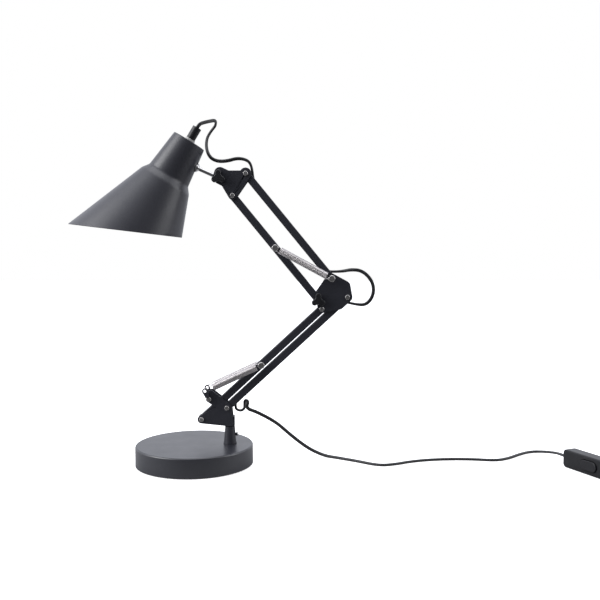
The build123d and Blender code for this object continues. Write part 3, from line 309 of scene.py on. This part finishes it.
def coil_route():
    """In, half a turn up onto the next layer, and out again."""
    points = []
    count = int(360 * (2 * COIL_TURNS_IN + 0.5) / COIL_STEP)
    swell = 1 / cos(radians(COIL_STEP / 2)) ** 0.7
    for k in range(1, count + 1):
        turn = k * COIL_STEP / 360
        climb = min(max((turn - COIL_TURNS_IN) / 0.5, 0), 1)
        out = max(turn - COIL_TURNS_IN - 0.5, 0)
        radius = (COIL_R - COIL_PITCH * (min(turn, COIL_TURNS_IN) - out)) * swell
        angle = radians(COIL_START + 360 * turn)
        points.append((COIL_CENTRE[0] + radius * cos(angle), COIL_CENTRE[1] + radius * sin(angle),
                       COIL_LOW + STACK / MM * climb))
    return points


def coil_tie():
    """A plastic band round one side of the coil."""
    out = Vector((cos(radians(TIE_AT)), sin(radians(TIE_AT)), 0))
    aside = out.cross(Z)
    near, far = COIL_R - COIL_PITCH * COIL_TURNS_IN - TIE_ROOM, COIL_R + TIE_ROOM
    low, high = TIE_T / 2 + 0.05, COIL_LOW + STACK / MM + LOBE_R / MM + TIE_T / 2 + 0.2
    centre = Vector((*COIL_CENTRE, 0))
    corners = [(far, low, -90), (far, high, 0), (near, high, 90), (near, low, 180)]
    rings = []
    for radius, height, first in corners:
        middle_r = radius + (-TIE_BEND if radius == far else TIE_BEND)
        middle_z = height + (-TIE_BEND if height == high else TIE_BEND)
        for k in range(5):
            angle = radians(first + 90 * k / 4)
            ring = []
            for reach, side in ((1, -1), (1, 1), (-1, 1), (-1, -1)):
                bend = TIE_BEND + reach * TIE_T / 2
                place = centre + out * (middle_r + bend * cos(angle)) + Z * (middle_z + bend * sin(angle))
                ring.append((place + aside * side * TIE_W / 2) * MM)
            rings.append(ring)
    vertices = [p for ring in rings for p in ring]
    faces = []
    for i in range(len(rings)):
        following = (i + 1) % len(rings)
        for j in range(4):
            k = (j + 1) % 4
            faces.append((i * 4 + j, i * 4 + k, following * 4 + k, following * 4 + j))
    made = piece("coil_tie", vertices, faces, KNOB, sharp=40)
    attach(made, "base")
    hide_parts("cord_tie")
    return made


def nurbs_line(name, route, resolution=10):
    """The points of a route's smooth line, in metres."""
    curve = bpy.data.curves.new(name + "_route", "CURVE")
    curve.dimensions = "3D"
    curve.resolution_u = resolution
    spline = curve.splines.new("NURBS")
    spline.points.add(len(route) - 1)
    for point, place in zip(spline.points, route):
        point.co = (*(Vector(place) * MM), 1)
    spline.order_u = 3
    spline.use_endpoint_u = True
    holder = bpy.data.objects.new(name + "_route", curve)
    mesh = bpy.data.meshes.new_from_object(holder)
    line = [v.co.copy() for v in mesh.vertices]
    bpy.data.meshes.remove(mesh)
    bpy.data.objects.remove(holder)
    bpy.data.curves.remove(curve)
    return line


def frames_along(line, wide, settle=False):
    """The line's points with the cord's broad way at each.

    It turns flat to the table where it may settle.
    """
    found = []
    way = (line[1] - line[0]).normalized()
    wide = Vector(wide)
    for i, place in enumerate(line):
        ahead = (line[min(i + 1, len(line) - 1)] - line[max(i - 1, 0)]).normalized()
        wide.rotate(way.rotation_difference(ahead))
        way = ahead
        side = way.cross(Z)
        if settle and side.length > 0.4 and place.z < SETTLE_Z:
            side.normalize()
            wide = wide.lerp(side if side.dot(wide) > 0 else -side, 0.07)
        wide = (wide - way * wide.dot(way)).normalized()
        found.append((place, wide.copy(), way.cross(wide)))
    return found


def twin_outline(steps=9):
    """The two lobes' outline, as (broad, thick) pairs."""
    reach = pi - atan2(sqrt(LOBE_R ** 2 - LOBE_OFF ** 2), LOBE_OFF)
    right = [-reach + 2 * reach * k / (steps - 1) for k in range(steps)]
    pairs = [(LOBE_OFF + LOBE_R * cos(a), LOBE_R * sin(a)) for a in right]
    return pairs + [(-x, -y) for x, y in pairs]


OUTLINE = twin_outline()


def smooth(t):
    t = min(max(t, 0.0), 1.0)
    return t * t * (3 - 2 * t)


def rolled(frames, turn_at):
    """The same frames turned about the cord, by turn_at's degrees at each share of its length."""
    whole, along, found = length_of(frames), 0.0, []
    for i, (place, wide, thick) in enumerate(frames):
        if i:
            along += (place - frames[i - 1][0]).length
        turn = radians(turn_at(along / whole))
        found.append((place, wide * cos(turn) + thick * sin(turn), thick * cos(turn) - wide * sin(turn)))
    return found


def cord_piece(name, frames):
    rings = [[place + wide * u + thick * v for u, v in OUTLINE] for place, wide, thick in frames]
    return tube_mesh(name, rings, RUBBER)


def length_of(frames):
    return sum((b[0] - a[0]).length for a, b in zip(frames, frames[1:]))


def cut(frames, shares):
    """The frames in pieces that end at those shares of the length, each starting on the last one's end."""
    whole, along, pieces, start = length_of(frames), 0.0, [], 0
    marks = [s * whole for s in shares]
    for i in range(1, len(frames)):
        along += (frames[i][0] - frames[i - 1][0]).length
        if marks and along >= marks[0]:
            pieces.append(frames[start:i + 1])
            start = i
            marks.pop(0)
    pieces.append(frames[start:])
    return pieces


def blended_cord(name, frames, nodes, first, second, **facts):
    made = cord_piece(name, frames)
    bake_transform(made)
    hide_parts(*nodes)
    return made


def riding_cord(name, frames, nodes, body, declared=True, **facts):
    made = cord_piece(name, frames)
    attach(made, body)
    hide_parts(*nodes)
    return made


def add_cords():
    head = frames_along(nurbs_line("head", HEAD_ROUTE[::-1]), Y)[::-1]
    head = rolled(head, lambda t: 85 * (1 - smooth((t - 0.7) / 0.3)))
    bodies = ["shade", "shade_rod", "knuckle", "head", "upper_bar"]
    for k, part in enumerate(cut(head, (0.25, 0.5, 0.75))):
        blended_cord(f"head_cord_{k + 1}", part, ["head_cord"], bodies[k], bodies[k + 1], stiffness="medium")
    elbow = frames_along(nurbs_line("elbow", ELBOW_ROUTE), Y)
    elbow = rolled(elbow, lambda t: 80 * smooth(t / 0.3) * smooth((1 - t) / 0.3))
    for k, part in enumerate(cut(elbow, (0.5,))):
        above, below = (("upper_bar", "elbow"), ("elbow", "lower_bar"))[k]
        blended_cord(f"elbow_cord_{k + 1}", part, ["elbow_cord"], above, below)
    exit_frames = frames_along(nurbs_line("exit", EXIT_ROUTE), Y)
    upright = atan2(exit_frames[-1][2].z, exit_frames[-1][1].z)
    exit_frames = rolled(exit_frames, lambda t: degrees(upright) * smooth(t))
    blended_cord("bracket_cord", exit_frames, ["exit_cord"], "lower_bar", "bracket", stiffness="limp")
    mains = frames_along(nurbs_line("mains", MAINS_ROUTE), exit_frames[-1][1], settle=True)
    hanging, lying = cut(mains, (0.2,))
    blended_cord("hanging_cord", hanging, ["mains_cord"], "bracket", "base", lay="hanging")
    riding_cord("table_cord", lying, ["mains_cord"], "base",
                with_pieces=["switch_front", "switch_rear", "switch_rocker"])
    supply_line = nurbs_line("supply", SUPPLY_START + coil_route() + PLUG_LEAD)
    supply = frames_along(supply_line, lying[-1][1], settle=True)
    tie = coil_tie()
    riding_cord("supply_cord", supply, ["switch_lead", "cord_coil", "plug_lead"], "base", far_end="plug",
                lay="coiled", with_pieces=["plug_body", "plug_pins", tie.name])
    for name, route, body in (("upper_bar_lead", UPPER_BAR_ROUTE, "upper_bar"),
                              ("lower_bar_lead", LOWER_BAR_ROUTE, "lower_bar")):
        inner_frames = frames_along(nurbs_line(name, route), Y)
        riding_cord(name, inner_frames, [name.replace("lead", "cord")], body, False)
    riding_cord("shade_lead", frames_along([Vector((-9.64, 0, 400.15)) * MM, Vector((-1.84, 0, 412.97)) * MM,
                                            Vector((6.731, 0, 427.062)) * MM], Y),
                ["lamp_lead"], "shade", False)


add_cords()


# ---- springs ----

SPRING_Y = 13.0
SPRING_R = 3.9
WIRE_R = 0.6
HOOK_ROOM = 7.0
HOOK_R = 2.8
EYE = Vector((15.3, 0, 95.8))
S1 = Vector((86.799, 0, 128.968))
S2 = Vector((104.656, 0, 276.460))
E4 = Vector((175.367, 0, 238.194))


def eased(start, start_way, end, end_way, count=7):
    """Points of a smooth bend from start to end, without its ends."""
    reach = (end - start).length * 0.45
    found = []
    for k in range(1, count):
        t = k / count
        a, b, c, d = (1 - t) ** 3, 3 * t * (1 - t) ** 2, 3 * t * t * (1 - t), t ** 3
        found.append(start * a + (start + start_way * reach) * b + (end - end_way * reach) * c + end * d)
    return found


HOOK_SWEEP = 270      # degrees of wire round each pin
HOOK_STEPS = 14
LEG_FROM = 1.5        # from the pin's centre to the start of a hook's straight leg
EASE_ROOM = 2.6       # what the bend between a leg and the coil takes
STEPS_PER_TURN = 18


def hook_points(centre, along, across, first_angle):
    """Three quarters of a turn round the pin at centre."""
    angles = [radians(first_angle - HOOK_SWEEP * k / HOOK_STEPS) for k in range(HOOK_STEPS + 1)]
    return [centre + (along * cos(q) + across * sin(q)) * HOOK_R for q in angles]


def spring_line(start, end, turns, side_y, first_room):
    """Hook, coil, hook: each hook is three quarters of a turn round its pin."""
    a, b = start + Y * side_y, end + Y * side_y
    along = (b - a).normalized()
    across = along.cross(Y)
    coil_l = (b - a).length - HOOK_ROOM - first_room
    points = hook_points(a, along, across, 360)
    leg = a + across * HOOK_R + along * (first_room - EASE_ROOM)
    points += [a + across * HOOK_R + along * LEG_FROM, leg]

    def on_coil(turn):
        angle = 2 * pi * turn
        out = across * cos(angle) + Y * sin(angle)
        return a + along * (first_room + coil_l * turn / turns) + out * SPRING_R

    first_way = (on_coil(0.01) - on_coil(0)).normalized()
    last_way = (on_coil(turns) - on_coil(turns - 0.01)).normalized()
    points += eased(leg, along, on_coil(0), first_way)
    points += [on_coil(k / STEPS_PER_TURN) for k in range(turns * STEPS_PER_TURN + 1)]
    leg = b + across * HOOK_R - along * (HOOK_ROOM - EASE_ROOM)
    points += eased(on_coil(turns), last_way, leg, along)
    points += [leg, b + across * HOOK_R - along * LEG_FROM]
    points += hook_points(b, along, across, 90)
    return [p * MM for p in points]


def wire(name, line, material, radius, sides=8):
    way = (line[1] - line[0]).normalized()
    wide = way.orthogonal().normalized()
    rings = []
    for i, place in enumerate(line):
        ahead = (line[min(i + 1, len(line) - 1)] - line[max(i - 1, 0)]).normalized()
        wide.rotate(way.rotation_difference(ahead))
        way = ahead
        wide = (wide - way * wide.dot(way)).normalized()
        thick = way.cross(wide)
        rings.append([place + (wide * cos(2 * pi * j / sides) + thick * sin(2 * pi * j / sides)) * radius
                      for j in range(sides)])
    return tube_mesh(name, rings, material)


def add_springs():
    for tag, start, end, turns, room, first, second, node in (
            ("lower", EYE, S1, 45, 11.0, "bracket", "lower_link", "lower_springs"),
            ("upper", E4, S2, 50, HOOK_ROOM, "elbow", "upper_link", "upper_springs")):
        for side, y in (("front", -SPRING_Y), ("rear", SPRING_Y)):
            made = wire(f"{tag}_spring_{side}", spring_line(start, end, turns, y, room), SPRING, WIRE_R * MM)
            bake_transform(made)
            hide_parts(node)


add_springs()


# ---- shade and bulb, turned finer than the solids ----

SHADE_ORIGIN = Vector((-3.4, 0, 410.4)) * MM
SHADE_DOWN = Vector((-0.5195, 0, -0.8545)).normalized()
SHADE_LEFT = Vector((-0.8545, 0, 0.5195)).normalized()
BALL = Vector((5.6, 0, 377.0)) * MM
ROD_WAY = Vector((cos(radians(-24.0)), 0, sin(radians(-24.0))))
CONE = tan(radians(21.1))
CONE_FROM = 66        # down the shade: from here its rows lean towards the slanted mouth
CONE_ROWS = 14
MOUTH_SLOPE = 0.4494
SOCKET_HOLE_R = 6.6
BULB_R, BULB_CENTRE = 22.5, 88.0
BULB_TOUCH = 17.13    # degrees: where the bulb's cone meets its sphere


def shade_point(radius, angle, s):
    """A point at that radius and angle round the shade's axis, s millimetres down it."""
    return SHADE_ORIGIN + (SHADE_DOWN * s + SHADE_LEFT * radius * cos(angle) + Y * radius * sin(angle)) * MM


def mouth_s(angle):
    lean = MOUTH_SLOPE * cos(angle)
    return (133.4 + lean * (33.6 - 58.0 * CONE)) / (1 - lean * CONE)


def shade_radius(s):
    """The shade's outer radius, straight between its two bends; soft_radius draws them soft."""
    points = [(0.0, 21.5), (50.0, 27.6), (58.0, 33.6)]
    if s >= 58.0:
        return 33.6 + (s - 58.0) * CONE
    for (s0, r0), (s1, r1) in zip(points, points[1:]):
        if s <= s1:
            return r0 + (r1 - r0) * (s - s0) / (s1 - s0)
    return 33.6


def soft_radius(s):
    spread = 1.6
    if s <= 3:
        return shade_radius(s)
    return sum(shade_radius(max(s + spread * k / 4, 0.0)) for k in range(-4, 5)) / 9


def shade_rows(inset):
    """Rows of (radius, distance down) from near the top down to CONE_FROM."""
    fixed = [6, 12, 18, 24, 30, 36, 42, 46, 48, 49, 50, 51, 52, 54, 56, 57, 58, 59, 60, 62, 66]
    return [(soft_radius(s) - inset, s) for s in fixed]


def add_shade():
    segments = 144
    wall = 1.0
    bead = 0.5
    rows = []

    def row(function):
        rows.append([function(2 * pi * j / segments) for j in range(segments)])

    for k in range(6):
        bend = radians(90 * k / 5)
        row(lambda a, b=bend: shade_point(20.5 + sin(b), a, 1 - cos(b)))
    def cone_s(a, share):
        """How far down a row lies, at a share of the way from CONE_FROM to the bead."""
        return CONE_FROM + (mouth_s(a) - bead - CONE_FROM) * share

    for radius, s in shade_rows(0.0):
        row(lambda a, r=radius, d=s: shade_point(r, a, d))
    for k in range(1, CONE_ROWS + 1):
        share = k / CONE_ROWS
        row(lambda a, t=share: shade_point(shade_radius(cone_s(a, t)), a, cone_s(a, t)))
    for k in range(1, 7):
        bend = radians(180 * k / 7)
        row(lambda a, b=bend: shade_point(shade_radius(mouth_s(a) - bead) - bead + bead * cos(b), a,
                                          mouth_s(a) - bead + bead * sin(b)))
    outer_rows = len(rows) - 4
    for k in range(CONE_ROWS, -1, -1):
        share = k / CONE_ROWS
        row(lambda a, t=share: shade_point(shade_radius(cone_s(a, t)) - wall, a, cone_s(a, t)))
    for radius, s in reversed(shade_rows(wall)):
        row(lambda a, r=radius, d=s: shade_point(r, a, d))
    row(lambda a: shade_point(20.4, a, wall))
    vertices = [p for r in rows for p in r]
    faces = []
    for i in range(len(rows) - 1):
        for j in range(segments):
            k = (j + 1) % segments
            near, far = i * segments, (i + 1) * segments
            faces.append((near + j, near + k, far + k, far + j))
    last = len(rows) - 1
    for centre_s, ring, radius in ((0.0, 0, 4.25), (wall, last, 4.25)):
        first = len(vertices)
        vertices += [shade_point(radius, 2 * pi * j / segments, centre_s) for j in range(segments)]
        for j in range(segments):
            k = (j + 1) % segments
            faces.append((ring * segments + j, ring * segments + k, first + k, first + j))
    top_inner, low_inner = len(vertices) - 2 * segments, len(vertices) - segments
    for j in range(segments):
        k = (j + 1) % segments
        faces.append((top_inner + j, top_inner + k, low_inner + k, low_inner + j))
    made = piece("shade_shell", vertices, faces, SHADE, sharp=35)
    made.data.materials.append(WHITE)
    limit = outer_rows * segments
    for face in made.data.polygons:
        low = min(face.vertices)
        if all(v >= limit for v in face.vertices) and low < top_inner:
            face.material_index = 1
        if any(v >= low_inner for v in face.vertices):
            face.material_index = 1
    cutter = turned_piece("socket_hole", [(0, -16), (SOCKET_HOLE_R, -16), (SOCKET_HOLE_R, 16), (0, 16)],
                          BALL, ROD_WAY, Y, SHADE, 48)
    hole = made.modifiers.new("hole", "BOOLEAN")
    hole.operation = "DIFFERENCE"
    hole.solver = "EXACT"
    hole.object = cutter
    cut_mesh = bpy.data.meshes.new_from_object(made.evaluated_get(bpy.context.evaluated_depsgraph_get()))
    made.modifiers.clear()
    made.data = cut_mesh
    made.data.set_sharp_from_angle(angle=radians(35))
    bpy.data.objects.remove(cutter)
    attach(made, "shade")
    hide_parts("shade")


def turned_piece(name, profile, origin, axis, aside, material, segments=96, sharp=30):
    """A body of revolution from (radius, distance along the axis) pairs in millimetres.

    Radius 0 ends it in a point.
    """
    third = axis.cross(aside)
    vertices, rows = [], []
    for radius, s in profile:
        if radius == 0:
            rows.append([len(vertices)] * segments)
            vertices.append(origin + axis * s * MM)
        else:
            rows.append([len(vertices) + j for j in range(segments)])
            vertices += [origin + (axis * s + (aside * cos(2 * pi * j / segments)
                                               + third * sin(2 * pi * j / segments))
                                   * radius) * MM for j in range(segments)]
    faces = []
    for upper, lower in zip(rows, rows[1:]):
        for j in range(segments):
            k = (j + 1) % segments
            corners = list(dict.fromkeys([upper[j], upper[k], lower[k], lower[j]]))
            if len(corners) > 2:
                faces.append(tuple(corners))
    return piece(name, vertices, faces, material, sharp=sharp)


def add_bulb():
    sphere = [radians(BULB_TOUCH - (90 + BULB_TOUCH) * k / 20) for k in range(20)]
    profile = [(0, 43.3), (7, 43.3), (11, 47.3)]
    profile += [(BULB_R * cos(t), BULB_CENTRE - BULB_R * sin(t)) for t in sphere]
    made = turned_piece("bulb", profile + [(0, BULB_CENTRE + BULB_R)],
                        SHADE_ORIGIN, SHADE_DOWN, SHADE_LEFT, OPAL, 72)
    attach(made, "shade")
    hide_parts("bulb_glass")


add_shade()
add_bulb()


# ---- the carried-over solids: small rounded edges ----

def soften(names, width, angle=40):
    for name in names.split():
        node = NODES[name]
        weld = node.modifiers.new("weld", "WELD")
        weld.merge_threshold = 0.000002
        edge = node.modifiers.new("soft_edge", "BEVEL")
        edge.width = width * MM
        edge.segments = 2
        edge.limit_method = "ANGLE"
        edge.angle_limit = radians(angle)
        edge.use_clamp_overlap = True
        edge.harden_normals = True


soften("bracket_plate_front bracket_plate_rear elbow_plate_front elbow_plate_rear "
       "head_plate_front head_plate_rear "
       "spring_anchors", 0.35)


# ---- floor, light ----

def add_stage():
    floor = piece("floor", [(-6, -6, 0), (6, -6, 0), (6, 6, 0), (-6, 6, 0)], [(0, 1, 2, 3)],
                  floor_material(), False)


def floor_material():
    """White where the camera sees it.

    Reflections see it darker, and darkest in front, as in the studio of the photograph.
    """
    n = Nodes("studio_floor")
    tone = n.ramp(n.noise(2.0, 2.0), (0.93, 0.93, 0.93), (0.95, 0.95, 0.95))
    seen = n.add("ShaderNodeLightPath").outputs["Is Camera Ray"]
    split = n.add("ShaderNodeSeparateXYZ")
    n.link(n.place, split, "Vector")
    back = n.add("ShaderNodeMapRange", interpolation_type="SMOOTHSTEP")
    back.inputs["From Min"].default_value = -0.35
    back.inputs["From Max"].default_value = 0.05
    back.inputs["To Min"].default_value = 0.05
    back.inputs["To Max"].default_value = 0.42
    n.link(split.outputs["Y"], back, "Value")
    colour = n.add("ShaderNodeMix", data_type="RGBA")
    n.link(seen, colour, "Factor")
    n.tree.links.new(back.outputs["Result"], colour.inputs[6])
    n.tree.links.new(tone, colour.inputs[7])
    glow = n.add("ShaderNodeMapRange")
    glow.inputs["To Min"].default_value = 0.0
    glow.inputs["To Max"].default_value = 0.62
    n.link(seen, glow, "Value")
    n.link(glow.outputs["Result"], n.shader, "Emission Strength")
    return n.finish(colour.outputs[2], n.spread(n.noise(3.0), 0.75, 0.85), None, Emission_Color=(1, 1, 1, 1),
                    Specular_IOR_Level=0.1)


def add_world():
    """White to the camera.

    Reflections and light see it dark behind the camera, as the photograph's reflections show.
    """
    world = bpy.data.worlds.new("studio")
    world.use_nodes = True
    SCENE.world = world
    tree = world.node_tree
    background = tree.nodes["Background"]
    coordinates = tree.nodes.new("ShaderNodeTexCoord")
    facing = tree.nodes.new("ShaderNodeVectorMath")
    facing.operation = "DOT_PRODUCT"
    facing.inputs[1].default_value = Vector((0.31, -0.95, -0.05)).normalized()
    tree.links.new(coordinates.outputs["Generated"], facing.inputs[0])
    shade = tree.nodes.new("ShaderNodeMapRange")
    shade.interpolation_type = "SMOOTHSTEP"
    shade.inputs["From Min"].default_value = 0.2
    shade.inputs["From Max"].default_value = 0.92
    shade.inputs["To Min"].default_value = 1.05
    shade.inputs["To Max"].default_value = 0.10
    tree.links.new(facing.outputs["Value"], shade.inputs["Value"])
    seen = tree.nodes.new("ShaderNodeLightPath")
    strength = tree.nodes.new("ShaderNodeMix")
    strength.inputs["B"].default_value = 1.0
    tree.links.new(seen.outputs["Is Camera Ray"], strength.inputs["Factor"])
    tree.links.new(shade.outputs["Result"], strength.inputs["A"])
    tree.links.new(strength.outputs["Result"], background.inputs["Strength"])
    tint = tree.nodes.new("ShaderNodeMix")
    tint.data_type = "RGBA"
    tint.inputs[6].default_value = (0.90, 0.925, 1.0, 1)
    tint.inputs[7].default_value = (1.0, 1.0, 1.0, 1)
    tree.links.new(seen.outputs["Is Camera Ray"], tint.inputs["Factor"])
    tree.links.new(tint.outputs[2], background.inputs["Color"])


def add_light(name, place, aim, size, power):
    data = bpy.data.lights.new(name, "AREA")
    data.shape = "RECTANGLE"
    data.size, data.size_y = size
    data.energy = power
    lamp = bpy.data.objects.new(name, data)
    lamp.location = place
    lamp.rotation_euler = (Vector(aim) - Vector(place)).to_track_quat("-Z", "Y").to_euler()
    SCENE.collection.objects.link(lamp)


add_stage()
add_world()
add_light("left_softbox", (-1.5, -0.5, 1.1), (0, 0, 0.25), (1.2, 1.4), 24)
add_light("right_softbox", (1.7, -0.2, 0.8), (0, 0, 0.25), (1.0, 1.3), 6)
add_light("top_softbox", (0.1, 0.1, 1.9), (0, 0, 0), (1.6, 1.4), 10)
SCENE.view_settings.view_transform = "Standard"
